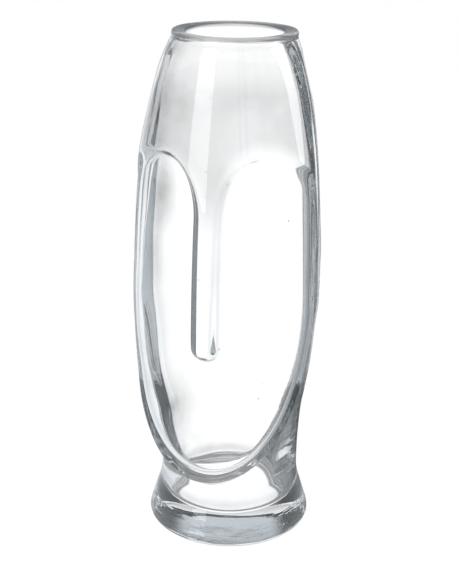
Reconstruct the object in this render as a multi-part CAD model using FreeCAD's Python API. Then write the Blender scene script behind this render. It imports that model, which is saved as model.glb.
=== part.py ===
import FreeCAD, Part
import math
import os

os.makedirs("parts", exist_ok=True)

# Sizes in millimetres and degrees
# The vase stands on the XY plane with its axis on Z and its face toward -Y
vaseHeight = 300.0
backRadius = 52.3
faceEdgeRadius = 59.0
frontReach = 58.0
reliefDepth = 6.5
faceEdgeAngle = 70.0
reliefFadeAngle = 78.0

# The U-shaped jaw, measured along the surface
surfaceRadius = 58.0
jawStartHeight = 150.0
jawDrop = 105.0
jawStepWidth = 12.0
templeStepWidth = 34.0
jawBlendHeight = 120.0
templeBlendHeight = 235.0
jawStepShare = 0.28
outerEdgeShare = 1.0

# Nose and brows, measured along the surface
reliefRadius = 55.0
noseTopHeight = 203.0
noseTopHalfWidth = 7.0
noseTipHeight = 124.5
noseTipHalfWidth = 6.2
noseTipRadius = 5.0
noseStepWidth = 9.5
noseTipStepWidth = 8.5
noseTipBlendHeight = 14.0
browHeight = 237.0
browPeakOffset = 33.0
browStepWidth = 8.0
templeOffset = 68.0
templeHeight = 212.0
templeEdgeWidth = 9.0

# Foot, rim and hollow
footEdgeRadius = 2.5
rimEdgeRadius = 1.5
mouthRadius = 27.5
mouthEdgeRadius = 2.0
rimSlopeAngle = 8.5
wallThickness = 6.75
floorHeight = 13.0
floorCornerRadius = 6.0
innerJawDrop = 102.0
innerJawRadius = 58.5
innerJawStepWidth = 21.5
innerJawStepShare = 0.34
innerEdgeShare = 1.045
innerReliefEnd = 278.0
flatLimit = 0.001

# Profiles as shares: height of the vase first, then the radius, reach or thickness named beside it
backRadiusShares = ((0.0, 0.93), (0.0083, 0.949), (0.0247, 0.924), (0.0533, 0.875), (0.0823, 0.824),
                    (0.111, 0.802), (0.153, 0.804), (0.209, 0.818), (0.2467, 0.836), (0.292, 0.878),
                    (0.3583, 0.933), (0.4233, 0.966), (0.4887, 1.0), (0.572, 0.999), (0.6733, 0.969),
                    (0.7723, 0.925), (0.8687, 0.851), (0.9433, 0.752), (0.978, 0.7), (0.99, 0.673),
                    (1.0, 0.671))
edgeRadiusShares = ((0.0, 0.985), (0.16, 0.99), (0.2733, 1.012), (0.3667, 1.028), (0.5, 1.026),
                    (0.57, 1.011), (0.6733, 0.982), (0.7733, 0.926), (0.8667, 0.82), (0.9433, 0.7085),
                    (0.978, 0.628), (0.99, 0.5966), (1.0, 0.5949))
frontReachShares = ((0.0, 1.069), (0.16, 1.069), (0.2733, 1.052), (0.3667, 0.99), (0.44, 0.983),
                    (0.55, 0.957), (0.69, 0.897), (0.8, 0.828), (0.8733, 0.759), (0.9433, 0.68),
                    (0.978, 0.634), (0.99, 0.6069), (1.0, 0.6052))
wallShares = ((0.0, 1.6), (0.1, 1.55), (0.2, 1.15), (0.35, 1.0), (0.5, 1.0), (0.65, 0.95), (0.78, 0.8),
              (0.88, 0.7), (0.95, 0.9), (0.985, 1.12), (1.0, 1.126))

# Rows up the surface as shares of its height, with the number of steps to each
outerRowShares = ((0.03, 2), (0.12, 5), (0.27, 18), (0.4, 7), (0.46, 11), (0.66, 9), (0.81, 22),
                 (0.95, 8), (0.98, 5), (0.99, 3), (0.995, 2))
innerRowShares = ((0.14, 3), (0.3, 12), (0.66, 9), (0.82, 6), (0.95, 7), (0.98, 4))
columnAngles = ((14.0, 11), (66.0, 20), (90.0, 7), (180.0, 10))
cornerRowCount = 4
sideSkipCount = 8
mouthRowCount = 3
bandRowCount = 39


def splineThrough(shares, heightScale, valueScale):
    heights = [heightScale * pair[0] for pair in shares]
    values = [valueScale * pair[1] for pair in shares]
    last = len(heights) - 1
    spans = [heights[i + 1] - heights[i] for i in range(last)]
    slopes = [(values[i + 1] - values[i]) / spans[i] for i in range(last)]
    tangents = [slopes[0]]
    for i in range(1, last):
        if slopes[i - 1] * slopes[i] <= 0:
            tangents.append(0.0)
        else:
            before = 2 * spans[i] + spans[i - 1]
            after = spans[i] + 2 * spans[i - 1]
            tangents.append((before + after) / (before / slopes[i - 1] + after / slopes[i]))
    tangents.append(slopes[-1])

    def valueAt(height):
        place = min(max(height, heights[0]), heights[-1])
        i = 0
        while i < last - 1 and place > heights[i + 1]:
            i += 1
        t = (place - heights[i]) / spans[i]
        rise = values[i] * (1 + 2 * t) * (1 - t) ** 2 + values[i + 1] * t * t * (3 - 2 * t)
        return rise + spans[i] * (tangents[i] * t * (1 - t) ** 2 - tangents[i + 1] * t * t * (1 - t))

    return valueAt


backRadiusAt = splineThrough(backRadiusShares, vaseHeight, backRadius)
edgeRadiusAt = splineThrough(edgeRadiusShares, vaseHeight, faceEdgeRadius)
frontReachAt = splineThrough(frontReachShares, vaseHeight, frontReach)
wallAt = splineThrough(wallShares, vaseHeight, wallThickness)


def easeStep(amount):
    t = min(max(amount, 0.0), 1.0)
    return t * t * t * (t * (6 * t - 15) + 10)


def softStep(amount):
    t = min(max(amount, 0.0), 1.0)
    return t * t * (3 - 2 * t)


def faceArc(reach, edge, edgeTurn, turn):
    # Radius from the axis to a circle through the front point and both face edges
    across = edge * math.sin(edgeTurn)
    ahead = edge * math.cos(edgeTurn)
    setback = (across * across + ahead * ahead - reach * reach) / (2 * (reach - ahead))
    arcRadius = reach + setback
    return math.sqrt(arcRadius ** 2 - (setback * math.sin(turn)) ** 2) - setback * math.cos(turn)


def ellipseGap(halfWidth, halfHeight, aside, above):
    # Distance inward from a quarter ellipse
    size = math.hypot(aside / halfWidth, above / halfHeight)
    if size == 0:
        return min(halfWidth, halfHeight)
    steepness = math.hypot(aside / halfWidth ** 2, above / halfHeight ** 2) / size
    return (1 - size) / steepness


def reliefAt(turn, height):
    # One on the forehead and nose, zero on the cheeks
    aside = turn * reliefRadius
    if aside < browPeakOffset:
        if height < noseTopHeight:
            climb = min(max((height - noseTipHeight) / (noseTopHeight - noseTipHeight), 0.0), 1.0)
            halfWidth = noseTipHalfWidth + (noseTopHalfWidth - noseTipHalfWidth) * climb
            over = aside - halfWidth + noseTipRadius
            under = noseTipHeight + noseTipRadius - height
            gap = math.hypot(max(over, 0.0), max(under, 0.0)) + min(max(over, under), 0.0) - noseTipRadius
            rise = easeStep((height - noseTipHeight) / noseTipBlendHeight)
            width = noseTipStepWidth + (noseStepWidth - noseTipStepWidth) * rise
            return 1 - softStep(gap / width + 0.5)
        gap = ellipseGap(browPeakOffset - noseTopHalfWidth, browHeight - noseTopHeight,
                         browPeakOffset - aside, height - noseTopHeight)
        climb = easeStep((height - noseTopHeight) / (browHeight - noseTopHeight))
        width = noseStepWidth + (browStepWidth - noseStepWidth) * climb
        return 1 - softStep(gap / width + 0.5)
    if height < templeHeight:
        return 1 - softStep((templeOffset - aside) / templeEdgeWidth + 0.5)
    gap = ellipseGap(templeOffset - browPeakOffset, browHeight - templeHeight,
                     aside - browPeakOffset, height - templeHeight)
    drop = easeStep((browHeight - height) / (browHeight - templeHeight))
    width = browStepWidth + (templeEdgeWidth - browStepWidth) * drop
    return 1 - softStep(gap / width + 0.5)


outerJaw = (jawDrop, surfaceRadius, jawStepWidth, jawStepShare, outerEdgeShare)
innerJaw = (innerJawDrop, innerJawRadius, innerJawStepWidth, innerJawStepShare, innerEdgeShare)


def surfaceRadiusAt(turn, height, relief, jaw):
    # Radius of the head at an angle from the front, with a chosen relief and jaw
    jawReach, jawWidth, stepWidth, stepShare, edgeShare = jaw
    turn = abs(turn)
    edgeTurn = math.radians(faceEdgeAngle)
    fadeTurn = math.radians(reliefFadeAngle)
    reach = frontReachAt(height)
    edge = edgeRadiusAt(height) * edgeShare
    head = faceArc(reach, edge, edgeTurn, min(turn, edgeTurn))
    cheek = min(head, faceArc(reach - reliefDepth, edge, fadeTurn, min(turn, fadeTurn)))
    front = cheek + (head - cheek) * relief
    aside = turn * surfaceRadius
    below = max(jawStartHeight - height, 0.0)
    halfWidth = edgeTurn * jawWidth
    size = math.hypot(aside / halfWidth, below / jawReach)
    beyond = -halfWidth
    if size > 0:
        steepness = math.hypot(aside / halfWidth ** 2, below / jawReach ** 2) / size
        beyond = (size - 1) / steepness
    climb = easeStep((height - jawBlendHeight) / (templeBlendHeight - jawBlendHeight))
    width = stepWidth + (templeStepWidth - stepWidth) * climb
    kept = 1 - easeStep(beyond / width + stepShare)
    back = backRadiusAt(height)
    return back + (front - back) * kept


def outerRadiusAt(turn, height):
    relief = reliefAt(abs(turn), height)
    return surfaceRadiusAt(turn, height, relief, outerJaw)


def innerRadiusAt(turn, height):
    # The hollow lies behind the cheeks and comes forward above the temples, as far as the round mouth
    relief = easeStep((height - templeHeight) / (innerReliefEnd - templeHeight))
    return surfaceRadiusAt(turn, height, relief, innerJaw) - wallAt(height)


def spreadSteps(start, bands):
    places = [start]
    for end, count in bands:
        begin = places[-1]
        places += [begin + (end - begin) * (i + 1) / count for i in range(count)]
    return places


sideTurns = spreadSteps(0.0, columnAngles)
turns = [-math.radians(turn) for turn in reversed(sideTurns)] + [math.radians(turn) for turn in sideTurns[1:]]


def ringPoints(radiusAt, height):
    ring = []
    for turn in turns:
        radius = radiusAt(turn)
        ring.append(FreeCAD.Vector(radius * math.sin(turn), -radius * math.cos(turn), height))
    return ring


def wallFaces(rings):
    # Closed curve round each ring, then a curve up every pole of the rings
    around = []
    for ring in rings:
        curve = Part.BSplineCurve()
        curve.interpolate(Points=ring[:-1], PeriodicFlag=True, Parameters=turns)
        around.append(curve)
    climbs = [0.0]
    for below, above in zip(rings[:-1], rings[1:]):
        gaps = [below[i].distanceToPoint(above[i]) for i in range(0, len(below), sideSkipCount)]
        climbs.append(climbs[-1] + sum(gaps) / len(gaps))
    poles = []
    for column in zip(*[curve.getPoles() for curve in around]):
        upward = Part.BSplineCurve()
        upward.interpolate(Points=list(column), Parameters=climbs)
        poles.append(upward.getPoles())
    surface = Part.BSplineSurface()
    surface.buildFromPolesMultsKnots(poles, around[0].getMultiplicities(), upward.getMultiplicities(),
                                     around[0].getKnots(), upward.getKnots(), True, False, 3, 3)
    # The two halves meet at the front and back, as the halves of the mould do
    cuts = climbs[:-1:bandRowCount] + [climbs[-1]]
    faces = []
    for start, end in zip(cuts[:-1], cuts[1:]):
        for side in ((turns[0], 0.0), (0.0, turns[-1])):
            half = surface.copy()
            half.segment(side[0], side[1], start, end)
            faces.append(half.toShape())
    return faces


def lidFace(edges, height):
    rim = []
    for edge in edges:
        box = edge.BoundBox
        if box.ZMin > height - flatLimit and box.ZMax < height + flatLimit:
            rim.append(edge)
    return Part.Face(Part.Wire(rim))


def heightRing(radiusAt, share):
    return ringPoints(lambda turn: radiusAt(turn, share * vaseHeight), share * vaseHeight)


def cornerRing(radiusAt, startHeight, cornerRadius, swing):
    # Ring on a rounded corner that turns inward below its start height
    inset = cornerRadius * (1 - math.cos(swing))
    return ringPoints(lambda turn: radiusAt(turn, startHeight) - inset,
                      startHeight - cornerRadius * math.sin(swing))


def rimRing(centreRadius, centreHeight, cornerRadius, swing):
    radius = centreRadius + cornerRadius * math.cos(swing)
    return ringPoints(lambda turn: radius, centreHeight + cornerRadius * math.sin(swing))


quarterTurn = math.pi / 2
quarterSwings = [quarterTurn * (step + 1) / cornerRowCount for step in range(cornerRowCount)]

# Rounded foot and outer wall, from the underside up
rings = []
for swing in reversed(quarterSwings):
    rings.append(cornerRing(outerRadiusAt, footEdgeRadius, footEdgeRadius, swing))
outerShares = spreadSteps(footEdgeRadius / vaseHeight, outerRowShares)
rings += [heightRing(outerRadiusAt, share) for share in outerShares]

# Rim, which slopes down inward between two rounded edges
rimSlope = math.radians(rimSlopeAngle)
crestTurn = quarterTurn + rimSlope
crestRadius = outerRadiusAt(0.0, vaseHeight) - rimEdgeRadius
crestHeight = vaseHeight - rimEdgeRadius
turnRadius = mouthRadius + mouthEdgeRadius
slopeStart = crestRadius + rimEdgeRadius * math.cos(crestTurn)
slopeEnd = turnRadius + mouthEdgeRadius * math.cos(crestTurn)
slopeTop = crestHeight + rimEdgeRadius * math.sin(crestTurn)
slopeBottom = slopeTop - (slopeStart - slopeEnd) * math.tan(rimSlope)
turnHeight = slopeBottom - mouthEdgeRadius * math.sin(crestTurn)
for step in range(1, cornerRowCount + 1):
    rings.append(rimRing(crestRadius, crestHeight, rimEdgeRadius, crestTurn * step / cornerRowCount))
for step in range(1, cornerRowCount):
    along = step / cornerRowCount
    rings.append(ringPoints(lambda turn: slopeStart + (slopeEnd - slopeStart) * along,
                            slopeTop + (slopeBottom - slopeTop) * along))
for step in range(cornerRowCount):
    swing = crestTurn + (math.pi - crestTurn) * step / cornerRowCount
    rings.append(rimRing(turnRadius, turnHeight, mouthEdgeRadius, swing))

# Inner wall and rounded floor, from the mouth down
cornerTop = floorHeight + floorCornerRadius
innerBands = innerRowShares + ((turnHeight / vaseHeight, mouthRowCount),)
innerShares = spreadSteps(cornerTop / vaseHeight, innerBands)
rings += [heightRing(innerRadiusAt, share) for share in reversed(innerShares)]
rings += [cornerRing(innerRadiusAt, cornerTop, floorCornerRadius, swing) for swing in quarterSwings]

walls = wallFaces(rings)
edges = [edge for face in walls for edge in face.Edges]
underside = lidFace(edges, 0.0)
floor = lidFace(edges, floorHeight)
shell = Part.makeShell(walls + [underside, floor])
shell.sewShape()
vase = Part.makeSolid(shell)
if vase.Volume < 0:
    vase.reverse()
vase.exportStep("parts/glass_vase.step")
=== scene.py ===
import bpy
import math
from mathutils import Matrix, Vector


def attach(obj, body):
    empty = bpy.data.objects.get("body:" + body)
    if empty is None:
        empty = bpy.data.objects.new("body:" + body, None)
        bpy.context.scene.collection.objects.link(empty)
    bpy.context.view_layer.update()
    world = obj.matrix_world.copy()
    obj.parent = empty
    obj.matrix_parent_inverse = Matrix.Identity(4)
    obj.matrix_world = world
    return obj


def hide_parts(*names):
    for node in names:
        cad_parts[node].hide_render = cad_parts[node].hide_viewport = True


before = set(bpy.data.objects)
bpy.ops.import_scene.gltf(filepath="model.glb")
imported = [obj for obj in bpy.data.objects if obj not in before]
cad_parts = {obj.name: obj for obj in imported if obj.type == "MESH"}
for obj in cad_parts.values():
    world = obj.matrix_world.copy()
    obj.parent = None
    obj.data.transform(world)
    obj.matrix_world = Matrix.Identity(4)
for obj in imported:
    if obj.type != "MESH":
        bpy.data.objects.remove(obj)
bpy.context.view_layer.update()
scene = bpy.context.scene

# Sizes of the glass in metres, turns in degrees
vase = {
    "height": 0.300,
    "backRadius": 0.0523,
    "edgeRadius": 0.059,
    "frontReach": 0.058,
    "reliefDepth": 0.0065,
    "edgeTurn": 70.0,
    "fadeTurn": 78.0,
    "surfaceRadius": 0.058,
    "jawStart": 0.150,
    "jawDrop": 0.105,
    "jawStep": 0.012,
    "templeStep": 0.034,
    "jawBlend": 0.120,
    "templeBlend": 0.235,
    "jawShare": 0.28,
    "reliefRadius": 0.055,
    "noseTop": 0.203,
    "noseTopHalf": 0.007,
    "noseTip": 0.1245,
    "noseTipHalf": 0.0062,
    "noseRound": 0.005,
    "noseStep": 0.0095,
    "noseTipStep": 0.0085,
    "noseTipBlend": 0.014,
    "browHeight": 0.237,
    "browPeak": 0.033,
    "browStep": 0.008,
    "temple": 0.068,
    "templeHeight": 0.212,
    "templeEdge": 0.009,
    "innerJawDrop": 0.102,
    "innerSurface": 0.0585,
    "innerStep": 0.0215,
    "innerJawShare": 0.34,
    "innerEdge": 1.045,
    "innerEnd": 0.278,
}
rim = {"footRound": 0.0025, "rimRound": 0.0015, "mouth": 0.0275, "mouthRound": 0.002, "slope": 8.5,
       "wall": 0.00675, "floor": 0.013, "floorRound": 0.006}
profiles = {
    "back": ((0.0, 0.93), (0.0083, 0.949), (0.0247, 0.924), (0.0533, 0.875), (0.0823, 0.824),
             (0.111, 0.802), (0.153, 0.804), (0.209, 0.818), (0.2467, 0.836), (0.292, 0.878),
             (0.3583, 0.933), (0.4233, 0.966), (0.4887, 1.0), (0.572, 0.999), (0.6733, 0.969),
             (0.7723, 0.925), (0.8687, 0.851), (0.9433, 0.752), (0.978, 0.7), (0.99, 0.673),
             (1.0, 0.671)),
    "edge": ((0.0, 0.985), (0.16, 0.99), (0.2733, 1.012), (0.3667, 1.028), (0.5, 1.026), (0.57, 1.011),
             (0.6733, 0.982), (0.7733, 0.926), (0.8667, 0.82), (0.9433, 0.7085), (0.978, 0.628),
             (0.99, 0.5966), (1.0, 0.5949)),
    "reach": ((0.0, 1.069), (0.16, 1.069), (0.2733, 1.052), (0.3667, 0.99), (0.44, 0.983), (0.55, 0.957),
              (0.69, 0.897), (0.8, 0.828), (0.8733, 0.759), (0.9433, 0.68), (0.978, 0.634),
              (0.99, 0.6069), (1.0, 0.6052)),
    "wall": ((0.0, 1.6), (0.1, 1.55), (0.2, 1.15), (0.35, 1.0), (0.5, 1.0), (0.65, 0.95), (0.78, 0.8),
             (0.88, 0.7), (0.95, 0.9), (0.985, 1.12), (1.0, 1.126)),
}
# Rows up the glass (top of a band in metres, rows in it), and columns round half of it (turn, columns)
rows = {"outer": ((0.036, 14), (0.066, 36), (0.120, 28), (0.134, 18), (0.200, 30), (0.243, 44), (0.288, 22),
                  (0.2985, 12)),
        "inner": ((0.090, 34), (0.200, 26), (0.250, 16), (0.285, 12)), "mouth": 8, "corner": 8, "slope": 6,
        "columns": ((14, 20), (70, 61), (92, 20), (180, 41))}


def curveThrough(shares, scale):
    # Smooth curve through shares of the height, which never overshoots them
    heights = [vase["height"] * pair[0] for pair in shares]
    values = [scale * pair[1] for pair in shares]
    last = len(heights) - 1
    spans = [heights[i + 1] - heights[i] for i in range(last)]
    slopes = [(values[i + 1] - values[i]) / spans[i] for i in range(last)]
    tangents = [slopes[0]]
    for i in range(1, last):
        before, after = 2 * spans[i] + spans[i - 1], spans[i] + 2 * spans[i - 1]
        level = slopes[i - 1] * slopes[i] <= 0
        tangents.append(0.0 if level else (before + after) / (before / slopes[i - 1] + after / slopes[i]))
    tangents.append(slopes[-1])

    def valueAt(height):
        place = min(max(height, heights[0]), heights[-1])
        i = 0
        while i < last - 1 and place > heights[i + 1]:
            i += 1
        t = (place - heights[i]) / spans[i]
        rise = values[i] * (1 + 2 * t) * (1 - t) ** 2 + values[i + 1] * t * t * (3 - 2 * t)
        return rise + spans[i] * (tangents[i] * t * (1 - t) ** 2 - tangents[i + 1] * t * t * (1 - t))

    return valueAt


backAt = curveThrough(profiles["back"], vase["backRadius"])
edgeAt = curveThrough(profiles["edge"], vase["edgeRadius"])
reachAt = curveThrough(profiles["reach"], vase["frontReach"])
wallAt = curveThrough(profiles["wall"], rim["wall"])


def spread(start, bands):
    places = [start]
    for end, count in bands:
        begin = places[-1]
        places += [begin + (end - begin) * (i + 1) / count for i in range(count)]
    return places


def sleeveRows():
    # Every row as (height, height its profiles are read at, inset, inside, fixed radius), from the
    # underside up the outer wall, over the rim and down the inner wall to the floor of the hollow
    foot, crestRound, mouthRound = rim["footRound"], rim["rimRound"], rim["mouthRound"]
    quarter, steps = math.pi / 2, rows["corner"]
    out = []
    for k in range(steps, 0, -1):
        swing = quarter * k / steps
        out.append((foot - foot * math.sin(swing), foot, foot * (1 - math.cos(swing)), 0.0, 0.0))
    out += [(height, height, 0.0, 0.0, 0.0) for height in spread(foot, rows["outer"])]
    slope = math.radians(rim["slope"])
    crestTurn = quarter + slope
    crest = reachAt(vase["height"]) - crestRound
    top = vase["height"] - crestRound
    for k in range(1, steps + 1):
        swing = crestTurn * k / steps
        out.append((top + crestRound * math.sin(swing), 0.0, 0.0, 0.0, crest + crestRound * math.cos(swing)))
    outerEdge = crest + crestRound * math.cos(crestTurn)
    innerEdge = rim["mouth"] + mouthRound + mouthRound * math.cos(crestTurn)
    high = top + crestRound * math.sin(crestTurn)
    low = high - (outerEdge - innerEdge) * math.tan(slope)
    for k in range(1, rows["slope"]):
        along = k / rows["slope"]
        out.append((high + (low - high) * along, 0.0, 0.0, 0.0, outerEdge + (innerEdge - outerEdge) * along))
    turnHeight = low - mouthRound * math.sin(crestTurn)
    for k in range(steps):
        swing = crestTurn + (math.pi - crestTurn) * k / steps
        out.append((turnHeight + mouthRound * math.sin(swing), 0.0, 0.0, 0.0,
                    rim["mouth"] + mouthRound + mouthRound * math.cos(swing)))
    corner = rim["floorRound"]
    cornerTop = rim["floor"] + corner
    inner = spread(cornerTop, rows["inner"] + ((turnHeight, rows["mouth"]),))
    out += [(height, height, 0.0, 1.0, 0.0) for height in reversed(inner)]
    for k in range(1, steps + 1):
        swing = quarter * k / steps
        height = cornerTop - corner * math.sin(swing)
        out.append((height, cornerTop, corner * (1 - math.cos(swing)), 1.0, 0.0))
    return out


def makeSleeve():
    # A plain closed sleeve that carries the turn, the height and the profiles for the rule to shape
    halfTurns = [math.radians(turn) for turn in spread(0.0, rows["columns"])]
    turns = [-turn for turn in reversed(halfTurns)] + halfTurns[1:-1]
    around = len(turns)
    points, faces = [], []
    names = ("turn", "inset", "inside", "fixed", "back", "edge", "reach", "wall", "level")
    values = {name: [] for name in names}
    for height, level, inset, inside, fixed in sleeveRows():
        profile = {"inset": inset, "inside": inside, "fixed": fixed, "level": level, "back": backAt(level),
                   "edge": edgeAt(level), "reach": reachAt(level), "wall": wallAt(level)}
        for turn in turns:
            points.append((vase["backRadius"] * math.sin(turn), -vase["backRadius"] * math.cos(turn), height))
            values["turn"].append(turn)
            for name, value in profile.items():
                values[name].append(value)
    for i in range(len(points) // around - 1):
        for j in range(around):
            k = (j + 1) % around
            faces.append((i * around + j, i * around + k, (i + 1) * around + k, (i + 1) * around + j))
    faces.append(tuple(reversed(range(around))))
    faces.append(tuple(range(len(points) - around, len(points))))
    mesh = bpy.data.meshes.new("glassVase")
    mesh.from_pydata(points, [], faces)
    for name, numbers in values.items():
        mesh.attributes.new(name, "FLOAT", "POINT").data.foreach_set("value", numbers)
    sleeve = bpy.data.objects.new("glassVase", mesh)
    scene.collection.objects.link(sleeve)
    return sleeve


class Flow:
    # A number on its way through a node tree, so that the rule of the head reads as a sum

    def __init__(self, tree, socket):
        self.tree = tree
        self.socket = socket

    def join(self, operation, *others):
        node = self.tree.nodes.new("ShaderNodeMath")
        node.operation = operation
        for socket, value in zip(node.inputs, (self,) + others):
            if isinstance(value, Flow):
                self.tree.links.new(value.socket, socket)
            else:
                socket.default_value = value
        return Flow(self.tree, node.outputs[0])

    def __add__(self, other):
        return self.join("ADD", other)

    def __radd__(self, other):
        return self.join("ADD", other)

    def __sub__(self, other):
        return self.join("SUBTRACT", other)

    def __rsub__(self, other):
        return self.join("MULTIPLY_ADD", -1.0, other)

    def __mul__(self, other):
        return self.join("MULTIPLY", other)

    def __rmul__(self, other):
        return self.join("MULTIPLY", other)

    def __truediv__(self, other):
        return self.join("DIVIDE", other)

    def atLeast(self, other):
        return self.join("MAXIMUM", other)

    def atMost(self, other):
        return self.join("MINIMUM", other)

    def long(self, other):
        return (self * self + other * other).join("SQRT")

    def eased(self, kind="SMOOTHERSTEP"):
        node = self.tree.nodes.new("ShaderNodeMapRange")
        node.interpolation_type = kind
        self.tree.links.new(self.socket, node.inputs["Value"])
        return Flow(self.tree, node.outputs["Result"])

    def toward(self, other, share):
        return self + (other - self) * share

    def below(self, limit, ifBelow, ifAbove):
        isBelow = self.join("LESS_THAN", limit)
        return ifAbove + (ifBelow - ifAbove) * isBelow


def faceArc(reach, edge, edgeTurn, turn):
    # Radius from the axis to the circle through the front point and both edges of the face
    across = edge * edgeTurn.join("SINE")
    ahead = edge * edgeTurn.join("COSINE")
    setback = (across * across + ahead * ahead - reach * reach) / ((reach - ahead) * 2.0)
    away = setback * turn.join("SINE")
    radius = reach + setback
    return (radius * radius - away * away).join("SQRT") - setback * turn.join("COSINE")


nearZero = {"size": 1e-7, "steepness": 1e-4}


def ellipseGap(halfWidth, halfHeight, aside, above):
    # Distance inward from a quarter ellipse
    size = (aside / halfWidth).long(above / halfHeight) + nearZero["size"]
    steepness = (aside / (halfWidth * halfWidth)).long(above / (halfHeight * halfHeight))
    steepness = steepness / size + nearZero["steepness"]
    return (1.0 - size) / steepness


def reliefRule(size, turn, height):
    # One on the forehead and the nose, zero on the cheeks
    aside = turn * size["reliefRadius"]
    climb = ((height - size["noseTip"]) / (size["noseTop"] - size["noseTip"])).atLeast(0.0).atMost(1.0)
    half = climb * (size["noseTopHalf"] - size["noseTipHalf"]) + size["noseTipHalf"]
    over = aside - half + size["noseRound"]
    under = size["noseTip"] + size["noseRound"] - height
    nose = over.atLeast(0.0).long(under.atLeast(0.0)) + over.atLeast(under).atMost(0.0) - size["noseRound"]
    tipRise = ((height - size["noseTip"]) / size["noseTipBlend"]).eased()
    noseStep = tipRise * (size["noseStep"] - size["noseTipStep"]) + size["noseTipStep"]
    rise = (height - size["noseTop"]).atLeast(0.0)
    archRise = size["browHeight"] - size["noseTop"]
    archAside = (size["browPeak"] - aside).atLeast(0.0)
    arch = ellipseGap(size["browPeak"] - size["noseTopHalf"], archRise, archAside, rise)
    archStep = (rise / archRise).eased() * (size["browStep"] - size["noseStep"]) + size["noseStep"]
    inner = height.below(size["noseTop"], nose / noseStep, arch / archStep)
    fallRise = size["browHeight"] - size["templeHeight"]
    fall = ellipseGap(size["temple"] - size["browPeak"], fallRise, (aside - size["browPeak"]).atLeast(0.0),
                      (height - size["templeHeight"]).atLeast(0.0))
    drop = ((size["browHeight"] - height) / fallRise).eased()
    fallStep = drop * (size["templeEdge"] - size["browStep"]) + size["browStep"]
    side = (size["temple"] - aside) / size["templeEdge"]
    outer = height.below(size["templeHeight"], side, fall / fallStep)
    gap = aside.below(size["browPeak"], inner, outer)
    return 1.0 - (gap + 0.5).eased("SMOOTHSTEP")


def headRule(size, turn, height, profile, inside):
    # Radius of the glass at a turn from the front: a face front, a round back and the jaw between them
    hollowRelief = ((height - size["templeHeight"]) / (size["innerEnd"] - size["templeHeight"])).eased()
    relief = reliefRule(size, turn, height).toward(hollowRelief, inside)
    jawDrop = size["jawDrop"].toward(size["innerJawDrop"], inside)
    jawRadius = size["surfaceRadius"].toward(size["innerSurface"], inside)
    jawStep = size["jawStep"].toward(size["innerStep"], inside)
    jawShare = size["jawShare"].toward(size["innerJawShare"], inside)
    edge = profile["edge"] * (1.0 + (size["innerEdge"] - 1.0) * inside)
    head = faceArc(profile["reach"], edge, size["edgeTurn"], turn.atMost(size["edgeTurn"]))
    lowReach = profile["reach"] - size["reliefDepth"]
    low = faceArc(lowReach, edge, size["fadeTurn"], turn.atMost(size["fadeTurn"]))
    front = head.atMost(low).toward(head, relief)
    halfWidth = size["edgeTurn"] * jawRadius
    below = (size["jawStart"] - height).atLeast(0.0)
    beyond = ellipseGap(halfWidth, jawDrop, turn * size["surfaceRadius"], below) * -1.0
    rise = ((height - size["jawBlend"]) / (size["templeBlend"] - size["jawBlend"])).eased()
    width = jawStep.toward(size["templeStep"], rise)
    kept = 1.0 - (beyond / width + jawShare).eased()
    return profile["back"].toward(front, kept)


seeds = {"count": 26, "smallest": 0.00018, "largest": 0.00055, "deepest": 0.32, "shallowest": 0.17, "seed": 7,
         "lowest": 0.045, "highest": 0.275, "skinArea": 0.075}


def namedFloat(tree, name):
    node = tree.nodes.new("GeometryNodeInputNamedAttribute")
    node.data_type = "FLOAT"
    node.inputs["Name"].default_value = name
    return Flow(tree, node.outputs["Attribute"])


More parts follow.
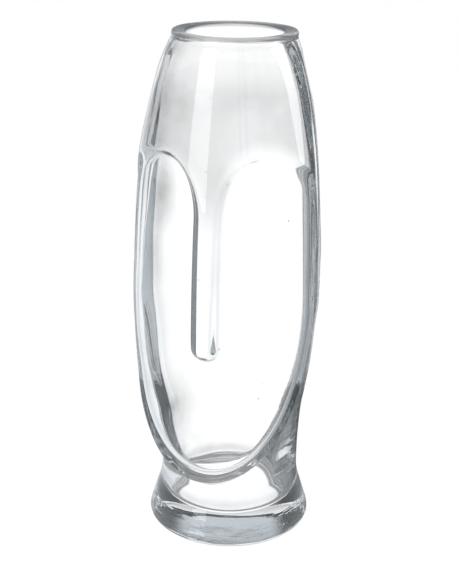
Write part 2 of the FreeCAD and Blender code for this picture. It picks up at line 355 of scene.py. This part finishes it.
def makeGlassTree(glass):
    # Shapes the sleeve by the rule of the head, and scatters the small air seeds inside its wall
    tree = bpy.data.node_groups.new("headOfGlass", "GeometryNodeTree")
    tree.interface.new_socket(name="Geometry", in_out="INPUT", socket_type="NodeSocketGeometry")
    for name in vase:
        tree.interface.new_socket(name=name, in_out="INPUT", socket_type="NodeSocketFloat")
    tree.interface.new_socket(name="Geometry", in_out="OUTPUT", socket_type="NodeSocketGeometry")
    nodes, link = tree.nodes, tree.links.new
    start = nodes.new("NodeGroupInput")
    size = {name: Flow(tree, start.outputs[name]) for name in vase}
    profile = {name: namedFloat(tree, name) for name in ("back", "edge", "reach")}
    side = namedFloat(tree, "turn")
    level, inside, fixed = [namedFloat(tree, name) for name in ("level", "inside", "fixed")]
    wall, inset = namedFloat(tree, "wall"), namedFloat(tree, "inset")
    head = headRule(size, side.join("ABSOLUTE"), level, profile, inside) - wall * inside - inset
    isFixed = fixed.join("GREATER_THAN", 0.0)
    radius = head.toward(fixed, isFixed)
    position = nodes.new("GeometryNodeInputPosition")
    apart = nodes.new("ShaderNodeSeparateXYZ")
    link(position.outputs[0], apart.inputs[0])
    place = nodes.new("ShaderNodeCombineXYZ")
    link((radius * side.join("SINE")).socket, place.inputs["X"])
    link((radius * side.join("COSINE") * -1.0).socket, place.inputs["Y"])
    link(apart.outputs["Z"], place.inputs["Z"])
    shaped = nodes.new("GeometryNodeSetPosition")
    link(start.outputs["Geometry"], shaped.inputs["Geometry"])
    link(place.outputs[0], shaped.inputs["Position"])

    # Seeds: tiny spheres of air, turned inside out, at a random depth below the outer skin
    spots = nodes.new("GeometryNodeDistributePointsOnFaces")
    spots.distribute_method = "RANDOM"
    link(shaped.outputs[0], spots.inputs["Mesh"])
    height = Flow(tree, apart.outputs["Z"])
    tall = height.join("GREATER_THAN", seeds["lowest"]) * height.join("LESS_THAN", seeds["highest"])
    outside = inside.join("LESS_THAN", 0.5) * fixed.join("LESS_THAN", 0.001)
    link((tall * outside).socket, spots.inputs["Selection"])
    spots.inputs["Density"].default_value = seeds["count"] / seeds["skinArea"]
    spots.inputs["Seed"].default_value = seeds["seed"]
    depth = nodes.new("FunctionNodeRandomValue")
    depth.inputs[2].default_value = -seeds["deepest"]
    depth.inputs[3].default_value = -seeds["shallowest"]
    sunk = nodes.new("ShaderNodeVectorMath")
    sunk.operation = "SCALE"
    link(spots.outputs["Normal"], sunk.inputs[0])
    link((Flow(tree, depth.outputs[1]) * namedFloat(tree, "wall")).socket, sunk.inputs["Scale"])
    moved = nodes.new("GeometryNodeSetPosition")
    link(spots.outputs["Points"], moved.inputs["Geometry"])
    link(sunk.outputs[0], moved.inputs["Offset"])
    ball = nodes.new("GeometryNodeMeshIcoSphere")
    ball.inputs["Radius"].default_value = 1.0
    ball.inputs["Subdivisions"].default_value = 2
    hollow = nodes.new("GeometryNodeFlipFaces")
    link(ball.outputs["Mesh"], hollow.inputs[0])
    wide = nodes.new("FunctionNodeRandomValue")
    wide.inputs[2].default_value = seeds["smallest"]
    wide.inputs[3].default_value = seeds["largest"]
    wide.inputs["Seed"].default_value = seeds["seed"]
    seedPieces = nodes.new("GeometryNodeInstanceOnPoints")
    link(moved.outputs[0], seedPieces.inputs["Points"])
    link(hollow.outputs[0], seedPieces.inputs["Instance"])
    link(wide.outputs[1], seedPieces.inputs["Scale"])

    both = nodes.new("GeometryNodeJoinGeometry")
    link(shaped.outputs[0], both.inputs[0])
    link(seedPieces.outputs[0], both.inputs[0])
    real = nodes.new("GeometryNodeRealizeInstances")
    link(both.outputs[0], real.inputs[0])
    smooth = nodes.new("GeometryNodeSetShadeSmooth")
    link(real.outputs[0], smooth.inputs[0])
    finish = nodes.new("GeometryNodeSetMaterial")
    finish.inputs["Material"].default_value = glass
    link(smooth.outputs[0], finish.inputs["Geometry"])
    end = nodes.new("NodeGroupOutput")
    link(finish.outputs[0], end.inputs[0])
    return tree


glassLook = {
    "ior": 1.5,
    "tint": (0.70, 0.725, 0.74),
    "density": 9.5,
    # Painted shade where the eye meets the glass edge on
    "edgeShadeTone": (0.62, 0.65, 0.675),
    "edgeStart": 0.45,
    "edgeEnd": 0.95,
    "hazeScale": 14.0,
    "hazeDetail": 4.0,
    "hazeStart": 0.5,
    "hazeEnd": 0.75,
    "hazeTone": (0.93, 0.94, 0.95),
    "roughLow": 0.0,
    "roughHigh": 0.02,
    "waveScale": 38.0,
    "waveDetail": 1.0,
    "waveHeight": 0.00004,
    "footLayers": 8.0,
    "footDetail": 2.0,
    "footTop": 0.017,
    "footWave": 0.0007,
    "soleTop": 0.0012,
    # Painted grey shade over the raised forehead: strength, where it starts and fades, and how it lifts and
    # thickens to the sides
    "foreheadShade": 0.29,
    "foreheadShadeStart": 0.182,
    "foreheadShadeEnd": 0.228,
    "foreheadShadeDepth": 0.02,
    "foreheadShadeFade": 0.262,
    "foreheadShadeTop": 0.290,
    "foreheadShadeLeft": 0.25,
    "foreheadShadeSide": 0.6,
    "sideStart": 2.0,
    "sideEnd": 34.0,
    "foreheadShadeStep": 0.013,
    "foreheadShadeLift": 0.006,
    "liftTurn": 14.0,
    # Painted grey shade on the flat rim, which is also given a rougher surface
    "rimShadeAndRough": 0.55,
    "rimStart": 0.2970,
    "rimEnd": 0.2980,
    "rimRough": 0.35,
    # Noise that breaks up the painted shade spots into patches
    "shadeSpotScale": 45.0,
    "shadeSpotDetail": 5.0,
    "shadeSpotGain": 1.9,
    "shadeSpotCut": 0.25,
}
# Painted shade in spots and thin lines: turn and height of the middle, half the turn, half the height,
# strength
shadeSpots = {
    "cheek": (-41, 0.2125, 17, 0.029, 0.50),
    "underCheek": (-46, 0.176, 10, 0.032, 0.36),
    "jaw": (-23, 0.0905, 5, 0.007, 0.45),
    "jawWideShade": (-22, 0.092, 22, 0.028, 0.34),
    "chinShade": (-2, 0.070, 20, 0.016, 0.12),
    "chinShadeLine": (4, 0.0575, 19, 0.0009, 0.60),
    "neckShade": (66, 0.060, 24, 0.024, 0.50),
    "footBand": (0, 0.0205, 900, 0.006, 0.45),
    "noseFoot": (0, 0.1236, 7, 0.0024, 0.90),
    "jawSide": (-66, 0.096, 17, 0.042, 0.38),
}


def mixed(tree, share, first, second):
    node = tree.nodes.new("ShaderNodeMix")
    node.data_type = "RGBA"
    tree.links.new(share, node.inputs[0])
    for socket, value in ((node.inputs[6], first), (node.inputs[7], second)):
        if isinstance(value, tuple):
            socket.default_value = value
        else:
            tree.links.new(value, socket)
    return node.outputs[2]


def ranged(tree, value, start, end, low=0.0, high=1.0):
    node = tree.nodes.new("ShaderNodeMapRange")
    tree.links.new(value, node.inputs["Value"])
    for name, number in zip(("From Min", "From Max", "To Min", "To Max"), (start, end, low, high)):
        node.inputs[name].default_value = number
    return node.outputs[0]


def greyOf(tree, value):
    node = tree.nodes.new("ShaderNodeCombineColor")
    for socket in node.inputs[:3]:
        tree.links.new(value, socket)
    return node.outputs[0]


def noiseOf(tree, vector, scale, detail):
    node = tree.nodes.new("ShaderNodeTexNoise")
    node.inputs["Scale"].default_value = scale
    node.inputs["Detail"].default_value = detail
    tree.links.new(vector, node.inputs["Vector"])
    return node.outputs[0]


def bumpOf(tree, height, distance):
    node = tree.nodes.new("ShaderNodeBump")
    node.inputs["Distance"].default_value = distance
    node.inputs["Strength"].default_value = 1.0
    tree.links.new(height, node.inputs["Height"])
    return node


def foreheadShadeRule(look, turn, height, ahead):
    # Painted shade: a grey over the raised forehead, standing in for the grey that the glass shows there. It
    # stops short of the brow on the side that the light comes from, and is denser on the other side.
    lift = (turn / math.radians(look["liftTurn"])).atLeast(0.0).atMost(1.0) * look["foreheadShadeLift"]
    soft = {**vase, "noseStep": look["foreheadShadeStep"], "browStep": look["foreheadShadeStep"]}
    climb = ((height - look["foreheadShadeStart"]) / (look["foreheadShadeEnd"] - look["foreheadShadeStart"])).eased()
    fade = ((height - look["foreheadShadeFade"]) / (look["foreheadShadeTop"] - look["foreheadShadeFade"])).eased()
    sideStart, sideEnd = math.radians(look["sideStart"]), math.radians(look["sideEnd"])
    away = ((turn * -1.0 - sideStart) / (sideEnd - sideStart)).eased()
    foreheadShade = reliefRule(soft, turn.join("ABSOLUTE"), height - lift) * climb
    foreheadShade = foreheadShade * (1.0 - fade * (1 - look["foreheadShadeLeft"])) * (1.0 + away * look["foreheadShadeSide"])
    return foreheadShade * (ahead / -look["foreheadShadeDepth"]).atLeast(0.0).atMost(1.0) * look["foreheadShade"]


def shadeSpotRule(look, turn, height, speckle):
    # Painted shade in spots and thin lines, broken up into patches by noise
    broken = (speckle * look["shadeSpotGain"] - look["shadeSpotCut"]).atLeast(0.0).atMost(1.0)
    dim = 0.0
    for middle, level, halfTurn, halfHeight, strength in shadeSpots.values():
        across = (turn - math.radians(middle)) / math.radians(halfTurn)
        off = across.long((height - level) / halfHeight)
        dim = (1.0 - off).atLeast(0.0).eased("SMOOTHSTEP") * broken * strength + dim
    return dim


def makeGlass():
    look = glassLook
    glass = bpy.data.materials.new("clearPressedGlass")
    glass.use_nodes = True
    tree = glass.node_tree
    nodes, link = tree.nodes, tree.links.new
    shader = nodes["Principled BSDF"]
    shader.inputs["Transmission Weight"].default_value = 1.0
    shader.inputs["IOR"].default_value = look["ior"]
    place = nodes.new("ShaderNodeTexCoord").outputs["Object"]
    apart = nodes.new("ShaderNodeSeparateXYZ")
    link(place, apart.inputs[0])
    aside, ahead, height = [Flow(tree, socket) for socket in apart.outputs]
    turn = aside.join("ARCTAN2", ahead * -1.0)

    # Painted shade on the forehead, even painted grey shade on the flat rim, painted shade in spots, and
    # faint clouds of handling haze
    # Mask of the flat rim: painted grey shade and a rougher surface there
    rimShadeAndRough = ((height - look["rimStart"]) / (look["rimEnd"] - look["rimStart"])).eased()
    speckle = Flow(tree, noiseOf(tree, place, look["shadeSpotScale"], look["shadeSpotDetail"]))
    dim = foreheadShadeRule(look, turn, height, ahead) + rimShadeAndRough * look["rimShadeAndRough"]
    dim = dim + shadeSpotRule(look, turn, height, speckle)
    haze = noiseOf(tree, place, look["hazeScale"], look["hazeDetail"])
    haze = ranged(tree, haze, look["hazeStart"], look["hazeEnd"])
    tone = mixed(tree, haze, greyOf(tree, (1.0 - dim).socket), (*look["hazeTone"], 1))

    # Painted shade: the glass colour is darkened where the eye meets it edge on
    facing = nodes.new("ShaderNodeLayerWeight").outputs["Facing"]
    edge = ranged(tree, facing, look["edgeStart"], look["edgeEnd"])
    link(mixed(tree, edge, tone, (*look["edgeShadeTone"], 1)), shader.inputs["Base Color"])
    rough = Flow(tree, ranged(tree, haze, 0.0, 1.0, look["roughLow"], look["roughHigh"]))
    link((rough + rimShadeAndRough * look["rimRough"]).socket, shader.inputs["Roughness"])

    # Slow waves that pressing and fire polishing leave, and layers that the heavy foot cooled in
    wave = bumpOf(tree, noiseOf(tree, place, look["waveScale"], look["waveDetail"]), look["waveHeight"])
    layered = nodes.new("ShaderNodeMapping")
    layered.inputs["Scale"].default_value = (1, 1, look["footLayers"])
    link(place, layered.inputs["Vector"])
    layers = noiseOf(tree, layered.outputs[0], look["waveScale"], look["footDetail"])
    footWave = bumpOf(tree, layers, look["footWave"])
    inFoot = Flow(tree, ranged(tree, height.socket, look["footTop"], look["footTop"] / 2))
    offSole = ((height - look["soleTop"]) / look["soleTop"]).atLeast(0.0).atMost(1.0)
    link((inFoot * offSole).socket, footWave.inputs["Strength"])
    link(wave.outputs[0], footWave.inputs["Normal"])
    link(footWave.outputs[0], shader.inputs["Normal"])

    body = nodes.new("ShaderNodeVolumeAbsorption")
    body.inputs["Color"].default_value = (*look["tint"], 1)
    body.inputs["Density"].default_value = look["density"]
    link(body.outputs[0], nodes["Material Output"].inputs["Volume"])
    return glass


glass = makeGlass()
sleeve = makeSleeve()
modifier = sleeve.modifiers.new("headOfGlass", "NODES")
modifier.node_group = makeGlassTree(glass)
for item in modifier.node_group.interface.items_tree:
    if item.in_out == "INPUT" and item.name in vase:
        isTurn = item.name in ("edgeTurn", "fadeTurn")
        modifier[item.identifier] = math.radians(vase[item.name]) if isTurn else vase[item.name]
solid = bpy.data.meshes.new_from_object(sleeve.evaluated_get(bpy.context.evaluated_depsgraph_get()))
sleeve.modifiers.clear()
sleeve.data = solid
for name in [layer.name for layer in solid.attributes if layer.data_type == "FLOAT"]:
    solid.attributes.remove(solid.attributes[name])
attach(sleeve, "root")
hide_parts("glass_vase")
print("glass", len(solid.vertices), "points", len(solid.polygons), "faces")

camera = {"turn": 16.5, "distance": 0.6324, "height": 0.3858, "pitch": 0.3559, "yaw": -0.0025, "roll": 0.0127,
          "lens": 72.02}
facing = Matrix.Rotation(math.radians(camera["turn"]), 4, "Z")


def makeCamera():
    pitch, yaw, roll = camera["pitch"], camera["yaw"], camera["roll"]
    ahead = Vector((math.sin(yaw) * math.cos(pitch), math.cos(yaw) * math.cos(pitch), -math.sin(pitch)))
    right = Vector((math.cos(yaw), -math.sin(yaw), 0))
    up = right.cross(ahead)
    rolledRight = math.cos(roll) * right + math.sin(roll) * up
    rolledUp = -math.sin(roll) * right + math.cos(roll) * up
    stand = Matrix((rolledRight, rolledUp, -ahead)).transposed().to_4x4()
    stand.translation = Vector((0, -camera["distance"], camera["height"]))
    eye = bpy.data.objects.new("photoView", bpy.data.cameras.new("photoView"))
    eye.data.lens = camera["lens"]
    eye.data.sensor_fit = "AUTO"
    eye.matrix_world = facing @ stand
    scene.collection.objects.link(eye)
    scene.camera = eye


makeCamera()

# The studio: a white sweep behind the glass and greyer card to its sides. Tones by degrees to the right of
# the middle of the sweep, seen through the glass and in its reflections. The eye itself sees plain white.
studio = {
    "floorTones": ((-180, 1.0), (-62, 0.95), (-50, 0.97), (-30, 1.2), (21, 1.2), (23.5, 0.09), (44, 0.09),
                   (56, 0.3), (105, 0.4), (125, 0.9), (180, 1.0)),
    "cardTones": ((-180, 1.0), (-62, 0.85), (-50, 0.8), (-42, 0.6), (-36, 1.2), (19, 1.2), (22, 0.2),
                  (60, 0.25), (105, 0.4), (125, 0.9), (180, 1.0)),
    "highTones": ((-180, 0.45), (-120, 0.5), (-75, 0.3), (-60, 0.12), (-37, 0.1), (-27, 0.8), (26, 0.85),
                  (36, 0.12), (75, 0.1), (120, 0.3), (180, 0.3)),
    "cool": (0.90, 0.955, 1.0),
    "gapTone": 0.22,
    "gapStart": 0.19,
    "gapEnd": 0.215,
    "highStart": 0.36,
    "highEnd": 0.6,
    # Painted light under the middle of the foot and a painted shadow ring under its edge, which the eye sees
    # only through and in the glass
    "nearLightTone": 1.35,
    "nearEnd": 0.034,
    "footShadowTone": 0.35,
    "footShadowStart": 0.038,
    "footShadowEnd": 0.049,
    "outStart": 0.055,
    "floorGap": 0.0004,
    "floorSize": 12.0,
    "floorLit": 0.05,
    "seenTone": 1.035,
    "paperTone": 0.8,
    "aimHeight": 0.2,
    "bounces": 64,
    "glossyBounces": 32,
}
softBoxes = {"left": (-44, 1.6, 0.7, 1.4, 0.7, 3.5), "right": (84, 1.6, 0.8, 1.4, 0.7, 4.0)}


def turnedToView(tree, vector):
    # X to the right of the middle of the sweep and Y toward it
    turned = tree.nodes.new("ShaderNodeVectorRotate")
    turned.rotation_type = "Z_AXIS"
    turned.inputs["Angle"].default_value = -math.radians(camera["turn"])
    tree.links.new(vector, turned.inputs["Vector"])
    apart = tree.nodes.new("ShaderNodeSeparateXYZ")
    tree.links.new(turned.outputs[0], apart.inputs[0])
    return [Flow(tree, socket) for socket in apart.outputs]


def toneRound(tree, aside, ahead, tones):
    # Tone of the card by the turn of a direction or a place round the vase
    share = aside.join("ARCTAN2", ahead) / (2 * math.pi) + 0.5
    ramp = tree.nodes.new("ShaderNodeValToRGB")
    tree.links.new(share.socket, ramp.inputs[0])
    stops = ramp.color_ramp.elements
    while len(stops) > 1:
        stops.remove(stops[-1])
    for place, (degrees, tone) in enumerate(tones):
        stop = stops[0] if place == 0 else stops.new(degrees / 360 + 0.5)
        stop.position = degrees / 360 + 0.5
        stop.color = (tone, tone, tone, 1) if tone >= 1 else (*[tone * cool for cool in studio["cool"]], 1)
    return ramp.outputs[0]


def makeFloor():
    half = studio["floorSize"] / 2
    mesh = bpy.data.meshes.new("floor")
    corners = [(-half, -half), (half, -half), (half, half), (-half, half)]
    mesh.from_pydata([(x, y, -studio["floorGap"]) for x, y in corners], [], [(0, 1, 2, 3)])
    floor = bpy.data.objects.new("floor", mesh)
    scene.collection.objects.link(floor)
    paper = bpy.data.materials.new("whiteSweep")
    paper.use_nodes = True
    tree = paper.node_tree
    tree.nodes.clear()
    place = tree.nodes.new("ShaderNodeTexCoord")
    aside, ahead = turnedToView(tree, place.outputs["Object"])[:2]
    around = toneRound(tree, aside, ahead, studio["floorTones"])
    away = aside.long(ahead).socket
    # Painted light under the middle of the foot, fading to a painted shadow ring under its edge
    paintedLightAndShadow = ranged(tree, away, studio["nearEnd"], studio["footShadowStart"], studio["nearLightTone"], studio["footShadowTone"])
    out = ranged(tree, away, studio["footShadowEnd"], studio["outStart"])
    tone = mixed(tree, out, greyOf(tree, paintedLightAndShadow), around)
    path = tree.nodes.new("ShaderNodeLightPath")
    tone = mixed(tree, path.outputs["Is Camera Ray"], tone, (*[studio["seenTone"]] * 3, 1))
    glow = tree.nodes.new("ShaderNodeEmission")
    tree.links.new(tone, glow.inputs["Color"])
    matt = tree.nodes.new("ShaderNodeBsdfDiffuse")
    matt.inputs["Color"].default_value = (*[studio["paperTone"]] * 3, 1)
    blend = tree.nodes.new("ShaderNodeMixShader")
    blend.inputs[0].default_value = studio["floorLit"]
    tree.links.new(glow.outputs[0], blend.inputs[1])
    tree.links.new(matt.outputs[0], blend.inputs[2])
    end = tree.nodes.new("ShaderNodeOutputMaterial")
    tree.links.new(blend.outputs[0], end.inputs["Surface"])
    mesh.materials.append(paper)


def makeWorld():
    world = bpy.data.worlds.new("studio")
    scene.world = world
    world.use_nodes = True
    tree = world.node_tree
    tree.nodes.clear()
    place = tree.nodes.new("ShaderNodeTexCoord")
    aside, ahead, up = turnedToView(tree, place.outputs["Generated"])
    card = toneRound(tree, aside, ahead, studio["cardTones"])
    above = toneRound(tree, aside, ahead, studio["highTones"])
    gap = (*[studio["gapTone"] * cool for cool in studio["cool"]], 1)
    tone = mixed(tree, ranged(tree, up.socket, studio["gapStart"], studio["gapEnd"]), card, gap)
    tone = mixed(tree, ranged(tree, up.socket, studio["highStart"], studio["highEnd"]), tone, above)
    path = tree.nodes.new("ShaderNodeLightPath")
    tone = mixed(tree, path.outputs["Is Camera Ray"], tone, (1, 1, 1, 1))
    sky = tree.nodes.new("ShaderNodeBackground")
    tree.links.new(tone, sky.inputs["Color"])
    end = tree.nodes.new("ShaderNodeOutputWorld")
    tree.links.new(sky.outputs[0], end.inputs["Surface"])


def makeSoftBoxes():
    for name, (turn, away, width, height, middle, strength) in softBoxes.items():
        lamp = bpy.data.lights.new(name + "SoftBox", "AREA")
        lamp.shape = "RECTANGLE"
        lamp.size = width
        lamp.size_y = height
        lamp.energy = strength * math.pi * width * height
        box = bpy.data.objects.new(name + "SoftBox", lamp)
        angle = math.radians(turn + camera["turn"])
        box.location = (away * math.sin(angle), -away * math.cos(angle), middle)
        aim = Vector((0, 0, studio["aimHeight"])) - box.location
        box.rotation_euler = aim.to_track_quat("-Z", "Y").to_euler()
        box.visible_camera = False
        box.visible_transmission = False
        scene.collection.objects.link(box)


makeFloor()
makeWorld()
makeSoftBoxes()
scene.view_settings.view_transform = "Standard"
scene.cycles.max_bounces = studio["bounces"]
scene.cycles.transmission_bounces = studio["bounces"]
scene.cycles.glossy_bounces = studio["glossyBounces"]
print("studio", len(softBoxes), "soft boxes")
